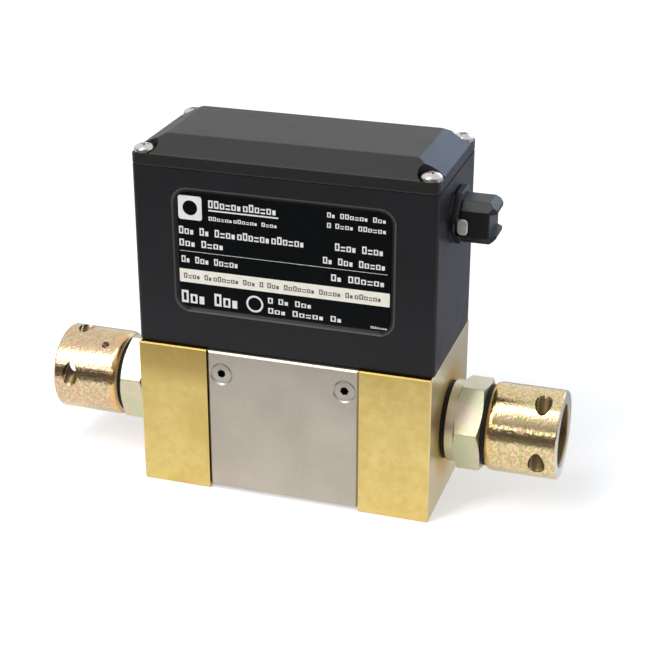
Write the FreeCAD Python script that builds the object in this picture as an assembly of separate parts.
import FreeCAD, Part
import math
import os

Vector = FreeCAD.Vector
os.makedirs("parts", exist_ok=True)

# The origin is the middle of the underside of the brass flow body.
# The pipe runs along X, the label looks along -Y, and Z is up. All sizes are in millimetres.

# Clearances between pieces that fit into each other
BORE_GAP = 0.1
SLOT_GAP = 0.3
SCREW_GAP = 0.3

# Flow body, a square brass bar with the flow bore through its middle
BODY_LENGTH = 97.0
BODY_DEPTH = 50.0
BODY_HEIGHT = 50.0
BODY_EDGE = 0.4
AXIS_HEIGHT = 25.0
NOMINAL_BORE = 10.0
LINER_WALL = 2.0
PORT_DIAMETER = 20.0
PORT_DEPTH = 13.0

# Steel cover plates in shallow recesses of the front and rear faces
PLATE_WIDTH = 50.2
PLATE_GAP = 0.25
PLATE_THICKNESS = 2.8
PLATE_SETBACK = 0.2
PLATE_BOTTOM = 1.2
PLATE_TOP_GAP = 0.2
PLATE_EDGE = 0.6
COVER_GASKET = 0.4
COVER_SCREW_SIDE = 4.6
COVER_SCREW_DROP = 7.6
COVER_SCREW_DIAMETER = 4.0
COVER_SCREW_HEAD = 6.8
COVER_SCREW_SINK = 0.4
COVER_SCREW_LENGTH = 10.0
COVER_SOCKET = 2.5
COVER_SOCKET_DEPTH = 1.6

# Magnet system behind each cover plate
POLE_DIAMETER = 10.0
BOBBIN_DIAMETER = 31.0
BOBBIN_WALL = 1.0
WINDING_DIAMETER = 29.0
YOKE_RIM = 0.5
YOKE_THICKNESS = 2.0
POCKET_GAP = 0.6
POCKET_CORNER = 3.0
BODY_WEB = 3.4
WIRE_HOLE = 3.0
WIRE_HOLE_SIDE = 11.0

# Wire pocket in the top of the body, under the housing floor
WIRE_POCKET_LENGTH = 38.0
WIRE_POCKET_WIDTH = 36.0
WIRE_POCKET_DEPTH = 3.0

# Electrodes above and below the bore, their sleeves and nuts
ELECTRODE_DIAMETER = 3.0
ELECTRODE_LENGTH = 12.0
SLEEVE_NECK = 5.0
SLEEVE_DIAMETER = 8.0
SLEEVE_LENGTH = 5.0
SLEEVE_SHOULDER = 2.0
ELECTRODE_NUT_FLATS = 5.5
ELECTRODE_NUT_HEIGHT = 2.4
ACCESS_DIAMETER = 12.0
PLUG_THICKNESS = 5.0
PLUG_RECESS = 0.4
PLUG_SOCKET = 5.0
PLUG_SOCKET_DEPTH = 2.5

# Hexagon nipple and seals between the body and each hose socket
SEAL_WIDTH = 1.6
SEAL_RADIUS = 12.8
COLLAR_WIDTH = 2.9
COLLAR_RADIUS = 13.3
HEX_FLATS = 27.0
HEX_WIDTH = 8.6
HEX_CROWN_ANGLE = 25.0
RIGHT_HEX_TURN = 20.0
LEFT_HEX_TURN = 12.0
SPIGOT_STEP = 1.0
SPIGOT_SETBACK = 1.0
SOCKET_RING_WIDTH = 1.2
SOCKET_RING_RADIUS = 13.1

# Clip-fastened hose socket at each end
SOCKET_LENGTH = 23.2
SOCKET_RADIUS = 14.4
SOCKET_BORE_RADIUS = 10.0
SOCKET_BORE_DEPTH = 17.6
SOCKET_SHOULDER = 2.6
SOCKET_SHOULDER_DROP = 1.7
SOCKET_RIM = 0.5
SOCKET_LEAD_IN = 0.6
CLIP_HOLE_DIAMETER = 5.4
CLIP_HOLE_OFFSET = 10.4
CLIP_HOLE_FROM_MOUTH = 6.0
RIGHT_CLIP_TURN = 23.4
LEFT_CLIP_TURN = 54.7
MARK_DIAMETER = 1.9
MARK_DEPTH = 1.3
MARK_FROM_MOUTH = 16.6
MARK_TURN = 7.3

# Electronics housing on top of the body
HOUSING_OVERHANG = 0.3
HOUSING_SETBACK = 1.6
HOUSING_HEIGHT = 58.9
HOUSING_WALL = 2.6
HOUSING_FLOOR = 3.0
HOUSING_CORNER = 1.5
BASE_GASKET = 0.3
BASE_GASKET_INSET = 0.8
POST_SIDE = 8.0
POST_CORNER = 1.5
BUSH_DIAMETER = 16.0
BUSH_FLANGE = 1.5
BUSH_LIP = 2.0
BUSH_BORE = 7.0
FIX_SCREW_INSET = 7.0
FIX_SCREW_POST_GAP = 0.9
FIX_SCREW_DIAMETER = 4.0
FIX_SCREW_HEAD = 7.0
FIX_SCREW_HEAD_HEIGHT = 3.0
FIX_SCREW_LENGTH = 11.0
FIX_SCREW_SOCKET = 3.0
FIX_SCREW_SOCKET_DEPTH = 1.8

# Lid with four sloping facets, corner notches and screws
LID_GASKET = 0.3
LID_GASKET_INSET = 0.1
LID_RIM_HEIGHT = 3.6
LID_RISE = 4.6
LID_SLOPE_X = 8.7
LID_SLOPE_Y = 8.0
LID_ROOF = 3.0
LID_SCREW_INSET = 3.4
NOTCH_RADIUS = 4.2
NOTCH_FLOOR_DROP = 0.3
LID_SCREW_DIAMETER = 3.5
LID_SCREW_HEAD = 6.8
LID_SCREW_HEAD_HEIGHT = 2.4
LID_SCREW_CROWN = 1.6
LID_SCREW_CROWN_STEPS = 4
LID_SCREW_LENGTH = 14.0
LID_SCREW_SLOT = 0.9
LID_SCREW_SLOT_DEPTH = 1.2
LID_SCREW_SLOT_SPAN = 3.8

# Type plate in a recess of the housing's front face
RECESS_LENGTH = 72.0
RECESS_HEIGHT = 41.4
RECESS_DEPTH = 1.0
RECESS_SLOPE = 1.4
RECESS_CORNER = 4.0
RECESS_DROP = 5.9
LABEL_THICKNESS = 0.4

# Plug connector on the right end wall
CONNECTOR_DROP = 14.2
CONNECTOR_SEAL = 0.4
CONNECTOR_SEAL_INSET = 0.8
FLANGE_WIDTH = 21.6
FLANGE_HEIGHT = 16.4
FLANGE_RISE = 0.8
FLANGE_CORNER = 4.6
FLANGE_THICKNESS = 2.2
TUBE_RADIUS = 7.2
TUBE_LENGTH = 9.0
LOCK_NUT_FLATS = 19.0
LOCK_NUT_THICKNESS = 3.0
BLOCK_WIDTH = 13.4
BLOCK_HEIGHT = 13.4
BLOCK_LENGTH = 10.8
BLOCK_CORNER = 1.8
BLOCK_END_BEVEL = 2.2
BLOCK_SLOT_HEIGHT = 6.8
BLOCK_SLOT_DEPTH = 1.8
INSERT_RADIUS = 5.4
INSERT_IN_BLOCK = 4.0
NOSE_RADIUS = 3.8
PIN_RADIUS = 0.6
PIN_CIRCLE = 2.4
PIN_OVERHANG = 2.0
CLIP_OVERLAP = 1.0
CLIP_DROP = 1.0
CLIP_LENGTH = 3.4
CLIP_HEIGHT = 5.0
CLIP_THICKNESS = 1.6
CLIP_CORNER = 1.2
CLIP_STAND_OUT = 0.4
CLIP_POCKET_MARGIN = 0.3

# Circuit board and what it carries
BOARD_POST_GAP = 1.8
BOARD_SIDE_GAP = 3.3
BOARD_THICKNESS = 1.6
BOARD_HOLE_INSET = 4.0
BOARD_BARE_END = 8.0
BOARD_SCREW_DIAMETER = 3.0
BOARD_SCREW_HEAD = 5.6
BOARD_SCREW_HEAD_HEIGHT = 2.0
BOARD_SCREW_REACH = 6.0
COMPONENT_CORNER = 1.5
STANDOFF_HEIGHT = 9.0
STANDOFF_FLATS = 5.5
STANDOFF_STUD = 2.2
COIL_DRIVER_SIDE = 16.0
COIL_DRIVER_HEIGHT = 13.0
CAPACITOR_DIAMETER = 8.0
CAPACITOR_HEIGHT = 12.0
CAPACITOR_PITCH = 10.0
CAPACITOR_COUNT = 3
SHIELD_LENGTH = 17.0
SHIELD_WIDTH = 21.0
SHIELD_HEIGHT = 5.0
TERMINAL_WIDTH = 24.0
TERMINAL_DEPTH = 8.0
TERMINAL_HEIGHT = 10.0
TERMINAL_WAYS = 5
TERMINAL_HOLE = 2.6
TERMINAL_HOLE_DEPTH = 6.0
TERMINAL_HOLE_HEIGHT = 3.9
TERMINAL_CORNER = 0.5

# Places that follow from the sizes above
BODY_END = BODY_LENGTH / 2
BODY_FACE = BODY_DEPTH / 2
LINER_RADIUS = NOMINAL_BORE / 2 + LINER_WALL
BODY_BORE_RADIUS = LINER_RADIUS + BORE_GAP
PLATE_FACE = BODY_FACE - PLATE_SETBACK
PLATE_BACK = PLATE_FACE - PLATE_THICKNESS
RECESS_FLOOR = PLATE_BACK - COVER_GASKET
PLATE_TOP = BODY_HEIGHT - PLATE_TOP_GAP
COVER_SCREW_X = PLATE_WIDTH / 2 - COVER_SCREW_SIDE
COVER_SCREW_Z = PLATE_TOP - COVER_SCREW_DROP
POCKET_FLOOR = BODY_BORE_RADIUS + BODY_WEB
POCKET_HALF = BOBBIN_DIAMETER / 2 + POCKET_GAP
YOKE_HALF = BOBBIN_DIAMETER / 2 - YOKE_RIM
YOKE_BACK = RECESS_FLOOR - YOKE_THICKNESS
SLEEVE_SEAT = BODY_BORE_RADIUS + SLEEVE_SHOULDER
SEAL_END = BODY_END + SEAL_WIDTH
HEX_START = SEAL_END + COLLAR_WIDTH
HEX_END = HEX_START + HEX_WIDTH
SPIGOT_RADIUS = SOCKET_BORE_RADIUS - SPIGOT_STEP
SOCKET_START = HEX_END + SOCKET_RING_WIDTH
SOCKET_END = SOCKET_START + SOCKET_LENGTH
SPIGOT_END = SOCKET_END - SOCKET_BORE_DEPTH - SPIGOT_SETBACK
HOUSING_X = BODY_END + HOUSING_OVERHANG
HOUSING_Y = BODY_FACE - HOUSING_SETBACK
HOUSING_BOTTOM = BODY_HEIGHT + BASE_GASKET
HOUSING_RIM = HOUSING_BOTTOM + HOUSING_HEIGHT
FLOOR_TOP = HOUSING_BOTTOM + HOUSING_FLOOR
FIX_SCREW_X = HOUSING_X - FIX_SCREW_INSET
FIX_SCREW_Y = HOUSING_Y - POST_SIDE - FIX_SCREW_POST_GAP - FIX_SCREW_HEAD / 2
RECESS_CENTRE = HOUSING_RIM - RECESS_DROP - RECESS_HEIGHT / 2
CONNECTOR_CENTRE = HOUSING_RIM - CONNECTOR_DROP
LID_BOTTOM = HOUSING_RIM + LID_GASKET
LID_RIM = LID_BOTTOM + LID_RIM_HEIGHT
LID_TOP = LID_RIM + LID_RISE
NOTCH_FLOOR = LID_RIM - NOTCH_FLOOR_DROP
LID_SCREW_X = HOUSING_X - LID_SCREW_INSET
LID_SCREW_Y = HOUSING_Y - LID_SCREW_INSET
FLANGE_BACK = HOUSING_X + CONNECTOR_SEAL
FLANGE_FACE = FLANGE_BACK + FLANGE_THICKNESS
BLOCK_END = FLANGE_FACE + BLOCK_LENGTH
TUBE_END = FLANGE_BACK - TUBE_LENGTH
BOARD_BOTTOM = FLOOR_TOP + STANDOFF_HEIGHT
BOARD_TOP = BOARD_BOTTOM + BOARD_THICKNESS
BOARD_LENGTH = 2 * (HOUSING_X - POST_SIDE - BOARD_POST_GAP)
BOARD_WIDTH = 2 * (HOUSING_Y - HOUSING_WALL - BOARD_SIDE_GAP)
BOARD_HOLE_X = BOARD_LENGTH / 2 - BOARD_HOLE_INSET
BOARD_HOLE_Y = BOARD_WIDTH / 2 - BOARD_HOLE_INSET
FILLED_LENGTH = COIL_DRIVER_SIDE + CAPACITOR_DIAMETER + SHIELD_LENGTH + TERMINAL_DEPTH
COMPONENT_GAP = (BOARD_LENGTH - 2 * BOARD_BARE_END - FILLED_LENGTH) / 3
COIL_DRIVER_X = BOARD_BARE_END - BOARD_LENGTH / 2 + COIL_DRIVER_SIDE / 2
CAPACITOR_X = COIL_DRIVER_X + (COIL_DRIVER_SIDE + CAPACITOR_DIAMETER) / 2 + COMPONENT_GAP
SHIELD_X = CAPACITOR_X + (CAPACITOR_DIAMETER + SHIELD_LENGTH) / 2 + COMPONENT_GAP
TERMINAL_X = SHIELD_X + (SHIELD_LENGTH + TERMINAL_DEPTH) / 2 + COMPONENT_GAP

FLOW_AXIS = Vector(0, 0, AXIS_HEIGHT)
ALONG_X = Vector(1, 0, 0)
ALONG_Y = Vector(0, 1, 0)
UP = Vector(0, 0, 1)
FRONT = Vector(0, -1, 0)
DOWN = Vector(0, 0, -1)


def save(name, shape):
    """Writes one sub-part."""
    shape.exportStep("parts/" + name + ".step")


def box(low, high):
    """A box between two opposite corners."""
    size = high - low
    return Part.makeBox(size.x, size.y, size.z, low)


def rounded_box(low, high, radius, axis):
    """A box with the four edges that run along one axis rounded."""
    solid = box(low, high)
    edges = []
    for edge in solid.Edges:
        run = edge.Vertexes[1].Point - edge.Vertexes[0].Point
        if run.cross(axis).Length < 1e-6:
            edges.append(edge)
    return solid.makeFillet(radius, edges)


def rod(radius, start, end):
    """A round bar between two points."""
    run = end - start
    return Part.makeCylinder(radius, run.Length, start, run)


def turned(profile, base, axis):
    """Turns (along, radius) points about a line from base that points along axis."""
    points = [Vector(radius, 0, along) for along, radius in profile]
    face = Part.Face(Part.makePolygon(points + points[:1]))
    solid = face.revolve(Vector(0, 0, 0), UP, 360)
    solid.Placement = FreeCAD.Placement(base, FreeCAD.Rotation(UP, axis))
    return solid


def tube(outer, inner, start, end):
    """A round tube between two points."""
    return rod(outer, start, end).cut(rod(inner, start, end))


def hexagon(flats, base, axis, length, turn=0.0):
    """A six-sided bar from base along axis; turn sets the angle of its corners."""
    radius = flats / 2 / math.cos(math.radians(30))
    points = []
    for corner in range(6):
        angle = math.radians(turn + 60 * corner)
        points.append(Vector(radius * math.cos(angle), radius * math.sin(angle), 0))
    solid = Part.Face(Part.makePolygon(points + points[:1])).extrude(Vector(0, 0, length))
    solid.Placement = FreeCAD.Placement(base, FreeCAD.Rotation(UP, axis))
    return solid


def rear_of(shape):
    """The same piece on the other side of the middle plane y = 0."""
    return shape.mirror(Vector(0, 0, 0), ALONG_Y)


def left_of(shape):
    """The same piece at the other end of the part."""
    return shape.mirror(Vector(0, 0, 0), ALONG_X)


def below_axis(shape):
    """The same piece on the other side of the flow axis, seen from the end."""
    return shape.mirror(FLOW_AXIS, UP)


def four_places(x, y):
    """The four points (+-x, +-y)."""
    return [(sx * x, sy * y) for sx in (-1, 1) for sy in (-1, 1)]


def on_bore(x, radius, angle):
    """A point at this distance from the flow axis; angle 0 is the front, 90 the top."""
    turn = math.radians(angle)
    return Vector(x, -radius * math.cos(turn), AXIS_HEIGHT + radius * math.sin(turn))


def body_blank():
    """The squared bar with all its outer edges broken."""
    bar = box(Vector(-BODY_END, -BODY_FACE, 0), Vector(BODY_END, BODY_FACE, BODY_HEIGHT))
    return bar.makeChamfer(BODY_EDGE, bar.Edges)


def flow_cuts():
    """The liner bore and the two threaded ports of the nipples."""
    bore = rod(BODY_BORE_RADIUS, FLOW_AXIS - ALONG_X * BODY_END, FLOW_AXIS + ALONG_X * BODY_END)
    port = rod(PORT_DIAMETER / 2, FLOW_AXIS + ALONG_X * (BODY_END - PORT_DEPTH),
               FLOW_AXIS + ALONG_X * BODY_END)
    return [bore, port, left_of(port)]


def front_cuts():
    """Plate recess, coil pocket, wire holes and screw holes behind the front cover."""
    half = PLATE_WIDTH / 2 + PLATE_GAP
    recess = box(Vector(-half, -BODY_FACE, 0), Vector(half, -RECESS_FLOOR, BODY_HEIGHT))
    pocket = rounded_box(Vector(-POCKET_HALF, -RECESS_FLOOR, AXIS_HEIGHT - POCKET_HALF),
                         Vector(POCKET_HALF, -POCKET_FLOOR, AXIS_HEIGHT + POCKET_HALF),
                         POCKET_CORNER, ALONG_Y)
    cuts = [recess, pocket]
    middle = (POCKET_FLOOR + YOKE_BACK) / 2
    for side in (-1, 1):
        cuts.append(rod(WIRE_HOLE / 2, Vector(side * WIRE_HOLE_SIDE, -middle, AXIS_HEIGHT),
                        Vector(side * WIRE_HOLE_SIDE, -middle, BODY_HEIGHT)))
        mouth = Vector(side * COVER_SCREW_X, -RECESS_FLOOR, COVER_SCREW_Z)
        cuts.append(rod(COVER_SCREW_DIAMETER / 2, mouth, mouth - FRONT * COVER_SCREW_LENGTH))
    return cuts


def electrode_cuts():
    """Stepped hole from the top of the body to the bore, and its twin from below."""
    top = FLOW_AXIS + UP * SLEEVE_SEAT
    neck = rod(SLEEVE_NECK / 2 + BORE_GAP, FLOW_AXIS, top)
    seat = rod(SLEEVE_DIAMETER / 2 + BORE_GAP, top, top + UP * (SLEEVE_LENGTH - SLEEVE_SHOULDER))
    start = top + UP * (SLEEVE_LENGTH - SLEEVE_SHOULDER)
    upper = rod(ACCESS_DIAMETER / 2, start, Vector(0, 0, BODY_HEIGHT))
    lower_start = below_axis(Part.Vertex(start)).Point
    lower = rod(ACCESS_DIAMETER / 2, Vector(0, 0, 0), lower_start)
    return [neck, seat, upper, below_axis(neck), below_axis(seat), lower]


def top_cuts():
    """Wire pocket and the screw holes that hold the housing."""
    pocket = rounded_box(
        Vector(-WIRE_POCKET_LENGTH / 2, -WIRE_POCKET_WIDTH / 2, BODY_HEIGHT - WIRE_POCKET_DEPTH),
        Vector(WIRE_POCKET_LENGTH / 2, WIRE_POCKET_WIDTH / 2, BODY_HEIGHT), POCKET_CORNER, UP)
    cuts = [pocket]
    depth = FIX_SCREW_LENGTH - HOUSING_FLOOR
    for x, y in four_places(FIX_SCREW_X, FIX_SCREW_Y):
        cuts.append(rod(FIX_SCREW_DIAMETER / 2, Vector(x, y, BODY_HEIGHT - depth - SCREW_GAP),
                        Vector(x, y, BODY_HEIGHT)))
    return cuts


def meter_body():
    """The brass flow body."""
    front = front_cuts()
    cuts = flow_cuts() + front + [rear_of(cut) for cut in front] + electrode_cuts() + top_cuts()
    return body_blank().cut(cuts)


def liner_tube():
    """Insulating tube between the two nipples, pierced for the electrodes."""
    end = ALONG_X * (BODY_END - PORT_DEPTH)
    liner = tube(LINER_RADIUS, NOMINAL_BORE / 2, FLOW_AXIS - end, FLOW_AXIS + end)
    pierce = rod(ELECTRODE_DIAMETER / 2 + BORE_GAP, FLOW_AXIS - UP * LINER_RADIUS * 2,
                 FLOW_AXIS + UP * LINER_RADIUS * 2)
    return liner.cut(pierce)


def electrodes():
    """Two measuring pins whose tips end at the bore wall."""
    tip = FLOW_AXIS + UP * NOMINAL_BORE / 2
    pin = rod(ELECTRODE_DIAMETER / 2, tip, tip + UP * ELECTRODE_LENGTH)
    return Part.makeCompound([pin, below_axis(pin)])


def electrode_sleeves():
    """Two stepped insulating sleeves around the electrodes."""
    hole = ELECTRODE_DIAMETER / 2 + BORE_GAP
    profile = [(0, hole), (0, SLEEVE_NECK / 2), (SLEEVE_SHOULDER, SLEEVE_NECK / 2),
               (SLEEVE_SHOULDER, SLEEVE_DIAMETER / 2), (SLEEVE_LENGTH, SLEEVE_DIAMETER / 2),
               (SLEEVE_LENGTH, hole)]
    sleeve = turned(profile, FLOW_AXIS + UP * BODY_BORE_RADIUS, UP)
    return Part.makeCompound([sleeve, below_axis(sleeve)])


def electrode_nuts():
    """Two small nuts that clamp the electrodes on their sleeves."""
    base = FLOW_AXIS + UP * (BODY_BORE_RADIUS + SLEEVE_LENGTH)
    nut = hexagon(ELECTRODE_NUT_FLATS, base, UP, ELECTRODE_NUT_HEIGHT)
    nut = nut.cut(rod(ELECTRODE_DIAMETER / 2 + BORE_GAP / 2, base, base + UP * ELECTRODE_NUT_HEIGHT))
    return Part.makeCompound([nut, below_axis(nut)])


def bottom_plug():
    """Screwed plug in the underside with a hexagon socket."""
    face = Vector(0, 0, PLUG_RECESS)
    plug = rod(ACCESS_DIAMETER / 2 - BORE_GAP, face, face + UP * PLUG_THICKNESS)
    return plug.cut(hexagon(PLUG_SOCKET, face, UP, PLUG_SOCKET_DEPTH))


def pole_core():
    """Steel core of the front coil."""
    return rod(POLE_DIAMETER / 2, FLOW_AXIS + FRONT * POCKET_FLOOR, FLOW_AXIS + FRONT * YOKE_BACK)


def coil_bobbin():
    """Flanged spool around the front core."""
    length = YOKE_BACK - POCKET_FLOOR
    hole = POLE_DIAMETER / 2 + BORE_GAP
    barrel = hole + BOBBIN_WALL
    flange = BOBBIN_DIAMETER / 2
    profile = [(0, hole), (0, flange), (BOBBIN_WALL, flange), (BOBBIN_WALL, barrel),
               (length - BOBBIN_WALL, barrel), (length - BOBBIN_WALL, flange), (length, flange),
               (length, hole)]
    return turned(profile, FLOW_AXIS + FRONT * POCKET_FLOOR, FRONT)


def coil_winding():
    """Copper winding between the bobbin's flanges."""
    barrel = POLE_DIAMETER / 2 + BORE_GAP + BOBBIN_WALL + BORE_GAP
    start = FLOW_AXIS + FRONT * (POCKET_FLOOR + BOBBIN_WALL)
    return tube(WINDING_DIAMETER / 2, barrel, start, FLOW_AXIS + FRONT * (YOKE_BACK - BOBBIN_WALL))


def yoke_plate():
    """Square steel plate that closes the magnet under the front cover."""
    return rounded_box(Vector(-YOKE_HALF, -RECESS_FLOOR, AXIS_HEIGHT - YOKE_HALF),
                       Vector(YOKE_HALF, -YOKE_BACK, AXIS_HEIGHT + YOKE_HALF), POCKET_CORNER,
                       ALONG_Y)


def cover_screw_places():
    """Where the two front cover screws pass the cover's inner face."""
    return [Vector(side * COVER_SCREW_X, -PLATE_BACK, COVER_SCREW_Z) for side in (-1, 1)]


def cover_plate():
    """Front cover plate with broken outer edges and two countersunk holes."""
    half = PLATE_WIDTH / 2
    plate = box(Vector(-half, -PLATE_FACE, PLATE_BOTTOM), Vector(half, -PLATE_BACK, PLATE_TOP))
    outer = [edge for edge in plate.Edges if edge.CenterOfMass.y < -PLATE_FACE + 1e-6]
    plate = plate.makeChamfer(PLATE_EDGE, outer)
    hole = COVER_SCREW_DIAMETER / 2 + SCREW_GAP
    mouth = COVER_SCREW_HEAD / 2 + COVER_SCREW_SINK + BORE_GAP
    profile = [(0, 0), (0, hole), (PLATE_THICKNESS - (mouth - hole), hole),
               (PLATE_THICKNESS, mouth), (PLATE_THICKNESS, 0)]
    return plate.cut([turned(profile, place, FRONT) for place in cover_screw_places()])


def cover_gasket():
    """Flat gasket between the front cover and the recess, open over the coil pocket."""
    half = PLATE_WIDTH / 2
    sheet = box(Vector(-half, -PLATE_BACK, PLATE_BOTTOM), Vector(half, -RECESS_FLOOR, PLATE_TOP))
    window = rounded_box(Vector(-POCKET_HALF, -PLATE_BACK, AXIS_HEIGHT - POCKET_HALF),
                         Vector(POCKET_HALF, -RECESS_FLOOR, AXIS_HEIGHT + POCKET_HALF),
                         POCKET_CORNER, ALONG_Y)
    holes = [rod(COVER_SCREW_DIAMETER / 2 + SCREW_GAP, place, place - FRONT * COVER_GASKET)
             for place in cover_screw_places()]
    return sheet.cut([window] + holes)


def cover_screws():
    """Two countersunk screws with hexagon sockets in the front cover."""
    shank = COVER_SCREW_DIAMETER / 2 - BORE_GAP
    head = COVER_SCREW_HEAD / 2
    top = PLATE_THICKNESS - COVER_SCREW_SINK
    cone_start = top - (head - shank) - BORE_GAP
    tip = cone_start - COVER_SCREW_LENGTH
    profile = [(tip, 0), (tip, shank), (cone_start, shank), (top - BORE_GAP, head), (top, head),
               (top, 0)]
    screws = []
    for place in cover_screw_places():
        screw = turned(profile, place, FRONT)
        bottom = place + FRONT * (top - COVER_SOCKET_DEPTH)
        screws.append(screw.cut(hexagon(COVER_SOCKET, bottom, FRONT, COVER_SOCKET_DEPTH)))
    return Part.makeCompound(screws)


def body_seal():
    """Rubber ring between the body and the right nipple."""
    start = FLOW_AXIS + ALONG_X * BODY_END
    return tube(SEAL_RADIUS, PORT_DIAMETER / 2, start, start + ALONG_X * SEAL_WIDTH)


def hex_nipple(turn):
    """Right nipple: port spigot, round collar, chamfered hexagon and socket spigot."""
    thread = PORT_DIAMETER / 2 - BORE_GAP
    inner = BODY_END - PORT_DEPTH + BORE_GAP
    profile = [(inner, 0), (inner, thread), (SEAL_END, thread), (SEAL_END, COLLAR_RADIUS),
               (HEX_START, COLLAR_RADIUS), (HEX_START, SPIGOT_RADIUS),
               (SPIGOT_END, SPIGOT_RADIUS), (SPIGOT_END, 0)]
    body = turned(profile, FLOW_AXIS, ALONG_X)
    nut = hexagon(HEX_FLATS, FLOW_AXIS + ALONG_X * HEX_START, ALONG_X, HEX_WIDTH)
    nut.rotate(FLOW_AXIS, ALONG_X, turn)
    corner = HEX_FLATS / 2 / math.cos(math.radians(30))
    flat = HEX_FLATS / 2
    crown = (corner - flat) * math.tan(math.radians(HEX_CROWN_ANGLE))
    barrel = turned([(HEX_START, 0), (HEX_START, flat), (HEX_START + crown, corner),
                     (HEX_END - crown, corner), (HEX_END, flat), (HEX_END, 0)], FLOW_AXIS, ALONG_X)
    bore = rod(NOMINAL_BORE / 2, FLOW_AXIS, FLOW_AXIS + ALONG_X * SOCKET_END)
    return body.fuse(nut.common(barrel)).removeSplitter().cut(bore)


def socket_ring():
    """Rubber ring between the hexagon and the right hose socket."""
    start = FLOW_AXIS + ALONG_X * HEX_END
    ring = tube(SOCKET_RING_RADIUS, SPIGOT_RADIUS + BORE_GAP, start,
                start + ALONG_X * SOCKET_RING_WIDTH)
    return ring


def socket_blank():
    """Turned right socket: rounded shoulder, bevelled rim, stepped bore with a lead-in."""
    shoulder = SOCKET_START + SOCKET_SHOULDER
    low = SOCKET_RADIUS - SOCKET_SHOULDER_DROP
    diagonal = math.sqrt(0.5)
    middle_x = SOCKET_START + SOCKET_SHOULDER * (1 - diagonal)
    middle_r = low + SOCKET_SHOULDER_DROP * diagonal
    lead = SOCKET_BORE_RADIUS + SOCKET_LEAD_IN
    thread = SPIGOT_RADIUS + BORE_GAP
    floor = SOCKET_END - SOCKET_BORE_DEPTH
    profile = [(SOCKET_START, thread), (SOCKET_START, low), (middle_x, middle_r),
               (shoulder, SOCKET_RADIUS), (SOCKET_END - SOCKET_RIM, SOCKET_RADIUS),
               (SOCKET_END, SOCKET_RADIUS - SOCKET_RIM), (SOCKET_END, lead),
               (SOCKET_END - SOCKET_LEAD_IN, SOCKET_BORE_RADIUS), (floor, SOCKET_BORE_RADIUS),
               (floor, thread)]
    return turned(profile, FLOW_AXIS, ALONG_X)


def clip_holes(turn):
    """Two parallel holes for the legs of the clip, each a chord that breaks into the bore."""
    x = SOCKET_END - CLIP_HOLE_FROM_MOUTH
    holes = []
    for side in (turn, turn + 180):
        middle = on_bore(x, CLIP_HOLE_OFFSET, side)
        run = on_bore(x, SOCKET_RADIUS, side + 90) - on_bore(x, 0, 0)
        holes.append(rod(CLIP_HOLE_DIAMETER / 2, middle - run, middle + run))
    return holes


def hose_socket(turn, mark_turn):
    """Right hose socket with its clip holes and a small drilled mark."""
    x = SOCKET_END - MARK_FROM_MOUTH
    mark = rod(MARK_DIAMETER / 2, on_bore(x, SOCKET_RADIUS - MARK_DEPTH, mark_turn),
               on_bore(x, SOCKET_RADIUS + MARK_DEPTH, mark_turn))
    return socket_blank().cut(clip_holes(turn) + [mark])


def housing_outline(bottom, top, inset, corner):
    """Upright block with the housing's outline, drawn in by inset."""
    return rounded_box(Vector(inset - HOUSING_X, inset - HOUSING_Y, bottom),
                       Vector(HOUSING_X - inset, HOUSING_Y - inset, top), corner, UP)


def lid_screw_holes(diameter, bottom, top):
    """Four upright holes at the corners."""
    return [rod(diameter / 2, Vector(x, y, bottom), Vector(x, y, top))
            for x, y in four_places(LID_SCREW_X, LID_SCREW_Y)]


def rounded_frame(half_x, half_z, corner, y):
    """Closed outline of a rounded rectangle that faces the front, around the type plate."""
    outline = rounded_box(Vector(-half_x, y, RECESS_CENTRE - half_z),
                          Vector(half_x, y + 1, RECESS_CENTRE + half_z), corner, ALONG_Y)
    for face in outline.Faces:
        if abs(face.CenterOfMass.y - y) < 1e-6:
            return face.OuterWire


def label_recess():
    """Shallow recess with sloping sides in the housing's front face."""
    outer = rounded_frame(RECESS_LENGTH / 2, RECESS_HEIGHT / 2, RECESS_CORNER, -HOUSING_Y)
    inner = rounded_frame(RECESS_LENGTH / 2 - RECESS_SLOPE, RECESS_HEIGHT / 2 - RECESS_SLOPE,
                          RECESS_CORNER - RECESS_SLOPE, -HOUSING_Y + RECESS_DEPTH)
    return Part.makeLoft([outer, inner], True, True)


def corner_posts():
    """Four upright posts that take the lid screws."""
    posts = []
    for sx, sy in four_places(1, 1):
        x = sx * (HOUSING_X - HOUSING_WALL / 2)
        y = sy * (HOUSING_Y - HOUSING_WALL / 2)
        reach_x = sx * (HOUSING_X - POST_SIDE)
        reach_y = sy * (HOUSING_Y - POST_SIDE)
        low = Vector(min(x, reach_x), min(y, reach_y), FLOOR_TOP - HOUSING_FLOOR / 2)
        high = Vector(max(x, reach_x), max(y, reach_y), HOUSING_RIM)
        posts.append(rounded_box(low, high, POST_CORNER, UP))
    return posts


def connector_hole():
    """Hole for the connector's tube in the right end wall."""
    middle = Vector(HOUSING_X, 0, CONNECTOR_CENTRE)
    return rod(TUBE_RADIUS + SLOT_GAP, middle - ALONG_X * HOUSING_WALL * 2,
               middle + ALONG_X * HOUSING_WALL)


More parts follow.
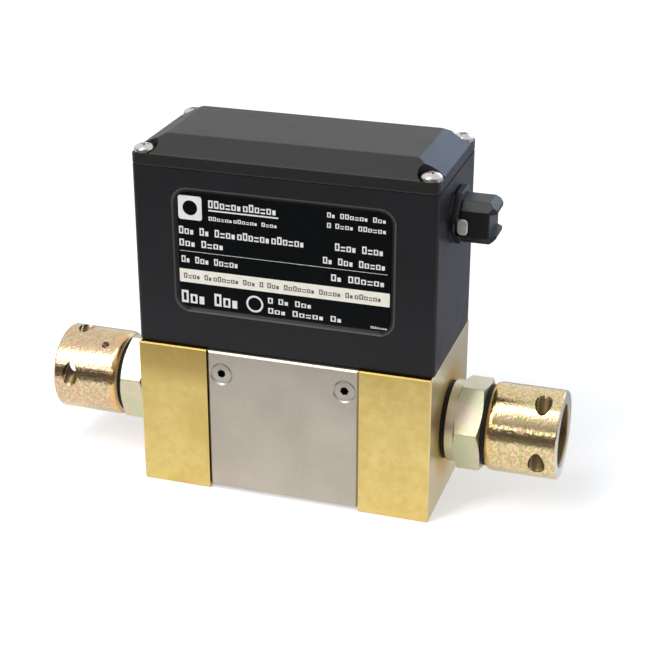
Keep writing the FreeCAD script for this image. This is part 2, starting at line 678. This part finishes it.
def housing_box():
    """Open-topped housing with floor, corner posts, label recess and wire hole."""
    shell = housing_outline(HOUSING_BOTTOM, HOUSING_RIM, 0, HOUSING_CORNER)
    cavity = housing_outline(FLOOR_TOP, HOUSING_RIM, HOUSING_WALL, HOUSING_CORNER)
    shell = shell.cut(cavity).fuse(corner_posts()).removeSplitter()
    cuts = lid_screw_holes(LID_SCREW_DIAMETER, HOUSING_RIM - LID_SCREW_LENGTH, HOUSING_RIM)
    cuts += [label_recess(), connector_hole()]
    cuts.append(rod(BUSH_DIAMETER / 2 + BORE_GAP, Vector(0, 0, HOUSING_BOTTOM),
                    Vector(0, 0, FLOOR_TOP)))
    for x, y in four_places(FIX_SCREW_X, FIX_SCREW_Y):
        cuts.append(rod(FIX_SCREW_DIAMETER / 2 + SCREW_GAP, Vector(x, y, HOUSING_BOTTOM),
                        Vector(x, y, FLOOR_TOP)))
    for x, y in four_places(BOARD_HOLE_X, BOARD_HOLE_Y):
        cuts.append(rod(BOARD_SCREW_DIAMETER / 2, Vector(x, y, FLOOR_TOP - STANDOFF_STUD),
                        Vector(x, y, FLOOR_TOP)))
    return shell.cut(cuts)


def base_gasket():
    """Gasket between the body and the housing, open over the wire pocket."""
    sheet = housing_outline(BODY_HEIGHT, HOUSING_BOTTOM, BASE_GASKET_INSET, HOUSING_CORNER)
    cuts = [rounded_box(Vector(-WIRE_POCKET_LENGTH / 2, -WIRE_POCKET_WIDTH / 2, BODY_HEIGHT),
                        Vector(WIRE_POCKET_LENGTH / 2, WIRE_POCKET_WIDTH / 2, HOUSING_BOTTOM),
                        POCKET_CORNER, UP)]
    for x, y in four_places(FIX_SCREW_X, FIX_SCREW_Y):
        cuts.append(rod(FIX_SCREW_DIAMETER / 2 + SCREW_GAP, Vector(x, y, BODY_HEIGHT),
                        Vector(x, y, HOUSING_BOTTOM)))
    return sheet.cut(cuts)


def housing_screws():
    """Four socket screws through the housing floor into the body."""
    shank = FIX_SCREW_DIAMETER / 2 - BORE_GAP
    head = FIX_SCREW_HEAD / 2
    profile = [(-FIX_SCREW_LENGTH, 0), (-FIX_SCREW_LENGTH, shank), (0, shank), (0, head),
               (FIX_SCREW_HEAD_HEIGHT, head), (FIX_SCREW_HEAD_HEIGHT, 0)]
    screws = []
    for x, y in four_places(FIX_SCREW_X, FIX_SCREW_Y):
        seat = Vector(x, y, FLOOR_TOP)
        bottom = seat + UP * (FIX_SCREW_HEAD_HEIGHT - FIX_SCREW_SOCKET_DEPTH)
        socket = hexagon(FIX_SCREW_SOCKET, bottom, UP, FIX_SCREW_SOCKET_DEPTH)
        screws.append(turned(profile, seat, UP).cut(socket))
    return Part.makeCompound(screws)


def wire_bush():
    """Rubber bush in the floor with a lip on top."""
    barrel = BUSH_DIAMETER / 2
    bore = BUSH_BORE / 2
    rise = HOUSING_FLOOR
    profile = [(0, bore), (0, barrel), (rise, barrel), (rise, barrel + BUSH_LIP),
               (rise + BUSH_FLANGE, barrel), (rise + BUSH_FLANGE, bore)]
    return turned(profile, Vector(0, 0, HOUSING_BOTTOM), UP)


def lid_gasket():
    """Thin gasket ring under the lid."""
    ring = housing_outline(HOUSING_RIM, LID_BOTTOM, LID_GASKET_INSET, HOUSING_CORNER)
    window = housing_outline(HOUSING_RIM, LID_BOTTOM, HOUSING_WALL, HOUSING_CORNER)
    corners = [box(Vector(min(sx * HOUSING_X, sx * (HOUSING_X - POST_SIDE)),
                          min(sy * HOUSING_Y, sy * (HOUSING_Y - POST_SIDE)), HOUSING_RIM),
                   Vector(max(sx * HOUSING_X, sx * (HOUSING_X - POST_SIDE)),
                          max(sy * HOUSING_Y, sy * (HOUSING_Y - POST_SIDE)), LID_BOTTOM))
               for sx, sy in four_places(1, 1)]
    holes = lid_screw_holes(LID_SCREW_DIAMETER + SCREW_GAP, HOUSING_RIM, LID_BOTTOM)
    return ring.cut(window.cut(corners)).cut(holes)


def lid_rectangle(half_x, half_y, z):
    """Closed rectangular outline at one height."""
    corners = [Vector(-half_x, -half_y, z), Vector(half_x, -half_y, z),
               Vector(half_x, half_y, z), Vector(-half_x, half_y, z)]
    return Part.makePolygon(corners + corners[:1])


def housing_lid():
    """Lid with an upright rim, four sloping facets, a flat top and corner notches."""
    rim = box(Vector(-HOUSING_X, -HOUSING_Y, LID_BOTTOM), Vector(HOUSING_X, HOUSING_Y, LID_RIM))
    roof = Part.makeLoft([lid_rectangle(HOUSING_X, HOUSING_Y, LID_RIM),
                          lid_rectangle(HOUSING_X - LID_SLOPE_X, HOUSING_Y - LID_SLOPE_Y, LID_TOP)],
                         True, True)
    outline = housing_outline(LID_BOTTOM, LID_TOP, 0, HOUSING_CORNER)
    lid = rim.fuse(roof).removeSplitter().common(outline)
    inset = LID_SCREW_INSET + NOTCH_RADIUS
    cavity = housing_outline(LID_BOTTOM, LID_TOP - LID_ROOF, inset, HOUSING_CORNER)
    notches = lid_screw_holes(NOTCH_RADIUS * 2, NOTCH_FLOOR, LID_TOP)
    holes = lid_screw_holes(LID_SCREW_DIAMETER + SCREW_GAP, LID_BOTTOM, LID_TOP)
    return lid.cut([cavity] + notches + holes)


def domed_head():
    """Outline of a domed screw head, from its rim up to its crown, as (along, radius)."""
    radius = LID_SCREW_HEAD / 2
    low = LID_SCREW_HEAD_HEIGHT - LID_SCREW_CROWN
    points = [(0, radius)]
    for step in range(LID_SCREW_CROWN_STEPS + 1):
        angle = math.pi / 2 * step / LID_SCREW_CROWN_STEPS
        points.append((low + LID_SCREW_CROWN * math.sin(angle), radius * math.cos(angle)))
    return points


def lid_screws():
    """Four domed screws with cross recesses, in the lid's notches."""
    shank = LID_SCREW_DIAMETER / 2 - BORE_GAP
    reach = LID_SCREW_LENGTH - BORE_GAP - (HOUSING_RIM - NOTCH_FLOOR)
    profile = [(-reach, 0), (-reach, shank), (0, shank)] + domed_head()
    half = LID_SCREW_SLOT_SPAN / 2
    width = LID_SCREW_SLOT / 2
    screws = []
    for x, y in four_places(LID_SCREW_X, LID_SCREW_Y):
        seat = Vector(x, y, NOTCH_FLOOR)
        top = seat + UP * LID_SCREW_HEAD_HEIGHT
        drop = DOWN * LID_SCREW_SLOT_DEPTH
        first = box(top + drop + Vector(-half, -width, 0), top + Vector(half, width, 0))
        second = box(top + drop + Vector(-width, -half, 0), top + Vector(width, half, 0))
        screws.append(turned(profile, seat, UP).cut([first, second]))
    return Part.makeCompound(screws)


def label_plate():
    """Thin type plate on the floor of the recess."""
    half_x = RECESS_LENGTH / 2 - RECESS_SLOPE - SLOT_GAP
    half_z = RECESS_HEIGHT / 2 - RECESS_SLOPE - SLOT_GAP
    back = -HOUSING_Y + RECESS_DEPTH
    return rounded_box(Vector(-half_x, back - LABEL_THICKNESS, RECESS_CENTRE - half_z),
                       Vector(half_x, back, RECESS_CENTRE + half_z),
                       RECESS_CORNER - RECESS_SLOPE, ALONG_Y)


def octagon_block(x_start, x_end, width, height, corner, rise=0.0):
    """A bar along X with four bevelled edges, at this rise above the connector's axis."""
    half_y = width / 2
    half_z = height / 2
    bar = box(Vector(x_start, -half_y, CONNECTOR_CENTRE + rise - half_z),
              Vector(x_end, half_y, CONNECTOR_CENTRE + rise + half_z))
    edges = []
    for edge in bar.Edges:
        run = edge.Vertexes[1].Point - edge.Vertexes[0].Point
        if run.cross(ALONG_X).Length < 1e-6:
            edges.append(edge)
    return bar.makeChamfer(corner, edges)


def at_connector(x):
    """Point on the connector's own axis."""
    return Vector(x, 0, CONNECTOR_CENTRE)


def connector_seal():
    """Flat seal between the end wall and the connector's flange."""
    inset = CONNECTOR_SEAL_INSET
    seal = octagon_block(HOUSING_X, FLANGE_BACK, FLANGE_WIDTH - 2 * inset, FLANGE_HEIGHT - 2 * inset,
                         FLANGE_CORNER - inset, FLANGE_RISE)
    return seal.cut(rod(TUBE_RADIUS + BORE_GAP, at_connector(HOUSING_X), at_connector(FLANGE_BACK)))


def connector_flange():
    """Bevelled flange with a notch for each clip and the threaded tube through the wall."""
    flange = octagon_block(FLANGE_BACK, FLANGE_FACE, FLANGE_WIDTH, FLANGE_HEIGHT, FLANGE_CORNER,
                           FLANGE_RISE)
    stub = rod(TUBE_RADIUS, at_connector(TUBE_END), at_connector(FLANGE_BACK + FLANGE_THICKNESS / 2))
    bore = rod(INSERT_RADIUS + BORE_GAP, at_connector(TUBE_END), at_connector(FLANGE_FACE))
    notch = clip_box(CLIP_POCKET_MARGIN, CLIP_THICKNESS - CLIP_STAND_OUT, FLANGE_WIDTH / 2,
                     CLIP_CORNER)
    return flange.fuse(stub).removeSplitter().cut([bore, notch, rear_of(notch)])


def lock_nut():
    """Nut that clamps the connector from inside the housing."""
    start = HOUSING_X - HOUSING_WALL - LOCK_NUT_THICKNESS
    nut = hexagon(LOCK_NUT_FLATS, at_connector(start), ALONG_X, LOCK_NUT_THICKNESS)
    return nut.cut(rod(TUBE_RADIUS + BORE_GAP, at_connector(start),
                       at_connector(start + LOCK_NUT_THICKNESS)))


def clip_box(margin, depth, stand_out, corner):
    """Rounded block at the clip's place on the connector's front face."""
    x = FLANGE_FACE - CLIP_OVERLAP
    face = -BLOCK_WIDTH / 2
    half = CLIP_HEIGHT / 2 + margin
    middle = CONNECTOR_CENTRE - CLIP_DROP
    return rounded_box(Vector(x - margin, face - stand_out, middle - half),
                       Vector(x + CLIP_LENGTH + margin, face + depth, middle + half), corner, ALONG_Y)


def bevelled_end():
    """Mould of the block's outer end: a bevel along each of its four sides."""
    start = BLOCK_END - BLOCK_END_BEVEL
    half_y = BLOCK_WIDTH / 2
    half_z = BLOCK_HEIGHT / 2
    wires = []
    for x, drop in ((FLANGE_FACE, 0), (start, 0), (BLOCK_END, BLOCK_END_BEVEL)):
        points = [Vector(x, sy * (half_y - drop), CONNECTOR_CENTRE + sz * (half_z - drop))
                  for sy, sz in ((-1, -1), (1, -1), (1, 1), (-1, 1))]
        wires.append(Part.makePolygon(points + points[:1]))
    straight = Part.makeLoft(wires[:2], True, True)
    return straight.fuse(Part.makeLoft(wires[1:], True, True)).removeSplitter()


def connector_block():
    """Plug body: bevelled edges and end, a slot across the end, and the clip's pockets."""
    block = octagon_block(FLANGE_FACE, BLOCK_END, BLOCK_WIDTH, BLOCK_HEIGHT, BLOCK_CORNER)
    block = block.common(bevelled_end())
    half = BLOCK_SLOT_HEIGHT / 2
    slot = box(Vector(BLOCK_END - BLOCK_SLOT_DEPTH, -BLOCK_WIDTH, CONNECTOR_CENTRE - half),
               Vector(BLOCK_END, BLOCK_WIDTH, CONNECTOR_CENTRE + half))
    bore = rod(NOSE_RADIUS + BORE_GAP, at_connector(FLANGE_FACE),
               at_connector(FLANGE_FACE + INSERT_IN_BLOCK + PIN_OVERHANG))
    pocket = clip_box(CLIP_POCKET_MARGIN, CLIP_THICKNESS - CLIP_STAND_OUT, CLIP_STAND_OUT,
                      CLIP_CORNER)
    return block.cut([slot, bore, pocket, rear_of(pocket)])


def connector_clips():
    """Steel clip tabs, one in each side pocket of the plug body."""
    tab = clip_box(0, CLIP_THICKNESS - CLIP_STAND_OUT, CLIP_STAND_OUT, CLIP_CORNER)
    return Part.makeCompound([tab, rear_of(tab)])


def pin_places(x):
    """Four points on the pin circle."""
    places = []
    for quarter in range(4):
        angle = math.radians(45 + 90 * quarter)
        places.append(at_connector(x) + Vector(0, PIN_CIRCLE * math.cos(angle),
                                               PIN_CIRCLE * math.sin(angle)))
    return places


def contact_insert():
    """Insulating insert in the tube, with a thinner nose in the plug body."""
    body = rod(INSERT_RADIUS, at_connector(TUBE_END), at_connector(FLANGE_FACE))
    tip = rod(NOSE_RADIUS, at_connector(TUBE_END), at_connector(FLANGE_FACE + INSERT_IN_BLOCK))
    holes = [rod(PIN_RADIUS + BORE_GAP / 2, start, start + ALONG_X * (BLOCK_END - TUBE_END))
             for start in pin_places(TUBE_END)]
    return body.fuse(tip).removeSplitter().cut(holes)


def contact_pins():
    """Four contact pins through the insert."""
    length = FLANGE_FACE + INSERT_IN_BLOCK + PIN_OVERHANG - BORE_GAP - (TUBE_END - PIN_OVERHANG)
    return Part.makeCompound([rod(PIN_RADIUS, start, start + ALONG_X * length)
                              for start in pin_places(TUBE_END - PIN_OVERHANG)])


def main_board():
    """Circuit board on its four standoffs."""
    board = rounded_box(Vector(-BOARD_LENGTH / 2, -BOARD_WIDTH / 2, BOARD_BOTTOM),
                        Vector(BOARD_LENGTH / 2, BOARD_WIDTH / 2, BOARD_TOP), HOUSING_CORNER, UP)
    return board.cut([rod((BOARD_SCREW_DIAMETER + SCREW_GAP) / 2, Vector(x, y, BOARD_BOTTOM),
                          Vector(x, y, BOARD_TOP)) for x, y in four_places(BOARD_HOLE_X, BOARD_HOLE_Y)])


def board_standoffs():
    """Four hexagon standoffs with a stud in the floor and a threaded hole on top."""
    radius = BOARD_SCREW_DIAMETER / 2
    pieces = []
    for x, y in four_places(BOARD_HOLE_X, BOARD_HOLE_Y):
        base = Vector(x, y, FLOOR_TOP)
        top = base + UP * STANDOFF_HEIGHT
        stud = rod(radius - BORE_GAP, base + DOWN * (STANDOFF_STUD - BORE_GAP), base)
        hole = rod(radius, top + DOWN * BOARD_SCREW_REACH, top)
        body = hexagon(STANDOFF_FLATS, base, UP, STANDOFF_HEIGHT)
        pieces.append(body.fuse(stud).cut(hole))
    return Part.makeCompound(pieces)


def board_screws():
    """Four screws that hold the board on its standoffs."""
    shank = BOARD_SCREW_DIAMETER / 2 - BORE_GAP
    head = BOARD_SCREW_HEAD / 2
    profile = [(-BOARD_SCREW_REACH, 0), (-BOARD_SCREW_REACH, shank), (0, shank), (0, head),
               (BOARD_SCREW_HEAD_HEIGHT, head), (BOARD_SCREW_HEAD_HEIGHT, 0)]
    return Part.makeCompound([turned(profile, Vector(x, y, BOARD_TOP), UP)
                              for x, y in four_places(BOARD_HOLE_X, BOARD_HOLE_Y)])


def on_board(x, y, length, width, height, corner):
    """Upright block that stands on the board."""
    return rounded_box(Vector(x - length / 2, y - width / 2, BOARD_TOP),
                       Vector(x + length / 2, y + width / 2, BOARD_TOP + height), corner, UP)


def coil_driver():
    """Power block that drives the magnet coils."""
    return on_board(COIL_DRIVER_X, 0, COIL_DRIVER_SIDE, COIL_DRIVER_SIDE, COIL_DRIVER_HEIGHT,
                    COMPONENT_CORNER)


def shield_can():
    """Tinned can over the signal stage."""
    return on_board(SHIELD_X, 0, SHIELD_LENGTH, SHIELD_WIDTH, SHIELD_HEIGHT, COMPONENT_CORNER)


def capacitors():
    """Row of upright capacitors."""
    first = -CAPACITOR_PITCH * (CAPACITOR_COUNT - 1) / 2
    return Part.makeCompound([
        rod(CAPACITOR_DIAMETER / 2, Vector(CAPACITOR_X, first + CAPACITOR_PITCH * place, BOARD_TOP),
            Vector(CAPACITOR_X, first + CAPACITOR_PITCH * place, BOARD_TOP + CAPACITOR_HEIGHT))
        for place in range(CAPACITOR_COUNT)])


def terminal_block():
    """Screw terminal block with a row of wire entries that face the connector."""
    pitch = TERMINAL_WIDTH / TERMINAL_WAYS
    block = on_board(TERMINAL_X, 0, TERMINAL_DEPTH, TERMINAL_WIDTH, TERMINAL_HEIGHT, TERMINAL_CORNER)
    face = TERMINAL_X + TERMINAL_DEPTH / 2
    height = BOARD_TOP + TERMINAL_HOLE_HEIGHT
    holes = []
    for way in range(TERMINAL_WAYS):
        y = pitch * (way + 0.5) - TERMINAL_WIDTH / 2
        holes.append(rod(TERMINAL_HOLE / 2, Vector(face - TERMINAL_HOLE_DEPTH, y, height),
                         Vector(face, y, height)))
    return block.cut(holes)


def save_magnets_and_covers():
    """Front pieces and their rear twins."""
    pieces = {"pole_core": pole_core, "coil_bobbin": coil_bobbin, "coil_winding": coil_winding,
              "yoke_plate": yoke_plate, "cover_plate": cover_plate, "cover_gasket": cover_gasket,
              "cover_screws": cover_screws}
    for name, make in pieces.items():
        front = make()
        save("front_" + name, front)
        save("rear_" + name, rear_of(front))


def save_pipe_ends():
    """Seals, nipples and hose sockets at both ends."""
    save("right_body_seal", body_seal())
    save("left_body_seal", left_of(body_seal()))
    save("right_nipple", hex_nipple(RIGHT_HEX_TURN))
    save("left_nipple", left_of(hex_nipple(LEFT_HEX_TURN)))
    save("right_socket_ring", socket_ring())
    save("left_socket_ring", left_of(socket_ring()))
    save("right_hose_socket", hose_socket(RIGHT_CLIP_TURN, RIGHT_CLIP_TURN + 180 + MARK_TURN))
    save("left_hose_socket", left_of(hose_socket(LEFT_CLIP_TURN, LEFT_CLIP_TURN + MARK_TURN)))


def save_single_pieces():
    """Pieces that occur once, and groups of like fasteners."""
    pieces = [meter_body, liner_tube, electrodes, electrode_sleeves, electrode_nuts, bottom_plug,
              base_gasket, housing_box, housing_screws, wire_bush, lid_gasket, housing_lid,
              lid_screws, label_plate, connector_seal, connector_flange, lock_nut, connector_block,
              connector_clips, contact_insert, contact_pins, main_board, board_standoffs,
              board_screws, coil_driver, shield_can, capacitors, terminal_block]
    for make in pieces:
        save(make.__name__, make())


save_magnets_and_covers()
save_pipe_ends()
save_single_pieces()
